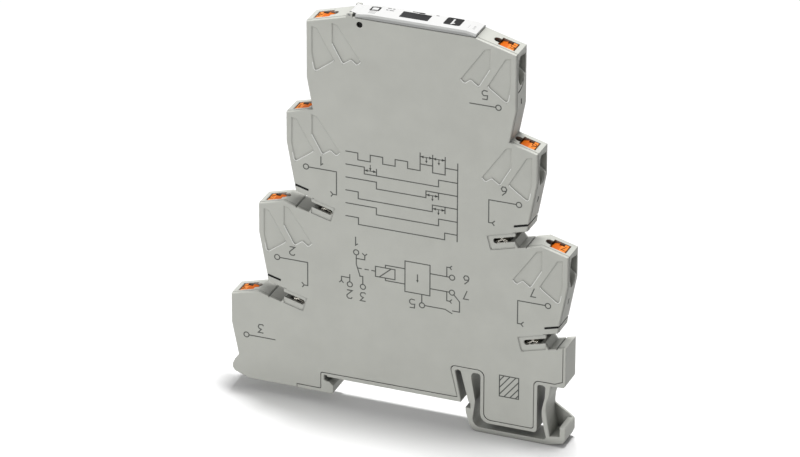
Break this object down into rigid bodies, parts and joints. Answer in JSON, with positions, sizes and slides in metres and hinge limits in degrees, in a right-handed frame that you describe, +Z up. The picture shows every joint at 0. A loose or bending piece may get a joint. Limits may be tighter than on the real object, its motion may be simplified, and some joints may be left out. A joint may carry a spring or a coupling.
{
  "type": "timer relay",
  "caption": "Narrow rail-mounted timer relay with stepped push-in terminals, orange release buttons and a hinged cover over its controls.",
  "frame": {"origin": "middle of the rail seat, on top of the 35 mm rail and halfway through the housing's thickness", "axes": "+X along the stepped profile towards the sprung foot, +Y through the thickness away from the printed side, +Z up and away from the rail"},
  "size_m": [0.0804, 0.0062, 0.0976],
  "materials": {
    "housing": "matt",
    "cover": "satin",
    "window": "gloss",
    "button": "satin",
    "steel": "satin",
    "tinned_brass": "satin",
    "board": "satin",
    "dark_plastic": "matt",
    "white_plastic": "matt",
    "clear_plastic": "gloss",
    "copper": "satin",
    "iron": "satin",
    "aluminium": "satin"
  },
  "bodies": {
    "housing": {"base_housing": "housing", "side_lid": "housing", "hinge_pin": "steel", "clamp_spring_left_1": "steel", "clamp_spring_left_2": "steel", "clamp_spring_left_3": "steel", "clamp_spring_left_4": "steel", "clamp_spring_right_1": "steel", "clamp_spring_right_2": "steel", "clamp_spring_right_3": "steel", "busbar_left_1": "tinned_brass", "busbar_left_2": "tinned_brass", "busbar_left_3": "tinned_brass", "busbar_left_4": "tinned_brass", "busbar_right_1": "tinned_brass", "busbar_right_2": "tinned_brass", "busbar_right_3": "tinned_brass", "bridge_contact_left_2": "tinned_brass", "bridge_contact_left_3": "tinned_brass", "bridge_contact_right_2": "tinned_brass", "bridge_contact_right_3": "tinned_brass", "circuit_board": "board", "pot_body": "dark_plastic", "switch_body": "dark_plastic", "led": "white_plastic", "light_guide": "clear_plastic", "relay_case": "dark_plastic", "relay_base": "dark_plastic", "relay_bobbin": "white_plastic", "relay_winding": "copper", "relay_core": "iron", "relay_yoke": "iron", "relay_pins": "tinned_brass", "contact_nc": "tinned_brass", "contact_no": "tinned_brass", "timer_chip": "dark_plastic", "capacitor": "aluminium", "rectifier": "dark_plastic", "resistors": "dark_plastic"},
    "cover": {"top_cover": "cover", "status_window": "window"},
    "button_left_1": {"button_left_1": "button"},
    "button_left_2": {"button_left_2": "button"},
    "button_left_3": {"button_left_3": "button"},
    "button_left_4": {"button_left_4": "button"},
    "button_right_1": {"button_right_1": "button"},
    "button_right_2": {"button_right_2": "button"},
    "button_right_3": {"button_right_3": "button"},
    "dial": {"time_dial": "white_plastic"},
    "switch_1": {"switch_slider_1": "white_plastic"},
    "switch_2": {"switch_slider_2": "white_plastic"},
    "switch_3": {"switch_slider_3": "white_plastic"},
    "switch_4": {"switch_slider_4": "white_plastic"},
    "armature": {"armature": "iron", "armature_card": "white_plastic"},
    "blade": {"contact_blade": "tinned_brass"}
  },
  "joints": [
    {"name": "cover_hinge", "type": "hinge", "parent": "housing", "child": "cover", "pos_m": [-0.01137, 0, 0.09042], "axis": [0, -1, 0], "range_deg": [0, 90]},
    {"name": "press_left_1", "type": "slide", "parent": "housing", "child": "button_left_1", "axis": [0.5446, 0, -0.8387], "range_m": [0, 0.0018], "stiffness_N_per_m": 1500, "deforming": ["clamp_spring_left_1"]},
    {"name": "press_left_2", "type": "slide", "parent": "housing", "child": "button_left_2", "axis": [0.5446, 0, -0.8387], "range_m": [0, 0.0018], "stiffness_N_per_m": 1500, "deforming": ["clamp_spring_left_2"]},
    {"name": "press_left_3", "type": "slide", "parent": "housing", "child": "button_left_3", "axis": [0.5446, 0, -0.8387], "range_m": [0, 0.0018], "stiffness_N_per_m": 1500, "deforming": ["clamp_spring_left_3"]},
    {"name": "press_left_4", "type": "slide", "parent": "housing", "child": "button_left_4", "axis": [0.5446, 0, -0.8387], "range_m": [0, 0.0018], "stiffness_N_per_m": 1500, "deforming": ["clamp_spring_left_4"]},
    {"name": "press_right_1", "type": "slide", "parent": "housing", "child": "button_right_1", "axis": [-0.5446, 0, -0.8387], "range_m": [0, 0.0018], "stiffness_N_per_m": 1500, "deforming": ["clamp_spring_right_1"]},
    {"name": "press_right_2", "type": "slide", "parent": "housing", "child": "button_right_2", "axis": [-0.5446, 0, -0.8387], "range_m": [0, 0.0018], "stiffness_N_per_m": 1500, "deforming": ["clamp_spring_right_2"]},
    {"name": "press_right_3", "type": "slide", "parent": "housing", "child": "button_right_3", "axis": [-0.5446, 0, -0.8387], "range_m": [0, 0.0018], "stiffness_N_per_m": 1500, "deforming": ["clamp_spring_right_3"]},
    {"name": "dial_turn", "type": "hinge", "parent": "housing", "child": "dial", "pos_m": [-0.0034, -0.0002, 0.0883], "axis": [0, 0, 1], "range_deg": [-135, 135]},
    {"name": "switch_1_slide", "type": "slide", "parent": "housing", "child": "switch_1", "axis": [0, 1, 0], "range_m": [0, 0.0009]},
    {"name": "switch_2_slide", "type": "slide", "parent": "housing", "child": "switch_2", "axis": [0, 1, 0], "range_m": [0, 0.0009]},
    {"name": "switch_3_slide", "type": "slide", "parent": "housing", "child": "switch_3", "axis": [0, 1, 0], "range_m": [0, 0.0009]},
    {"name": "switch_4_slide", "type": "slide", "parent": "housing", "child": "switch_4", "axis": [0, 1, 0], "range_m": [0, 0.0009]},
    {"name": "armature_tilt", "type": "hinge", "parent": "housing", "child": "armature", "pos_m": [-0.0093, 0, 0.04135], "axis": [0, 1, 0], "range_deg": [0, 4], "stiffness_Nm_per_rad": 0.005, "springref_deg": -1.15},
    {"name": "blade_flex", "type": "hinge", "parent": "housing", "child": "blade", "pos_m": [0.002, 0, 0.0481], "axis": [0, 1, 0], "range_deg": [-4.65, 0]}
  ],
  "couplings": [
    {"joint": "blade_flex", "follows": "armature_tilt", "ratio": -1.15}
  ]
}
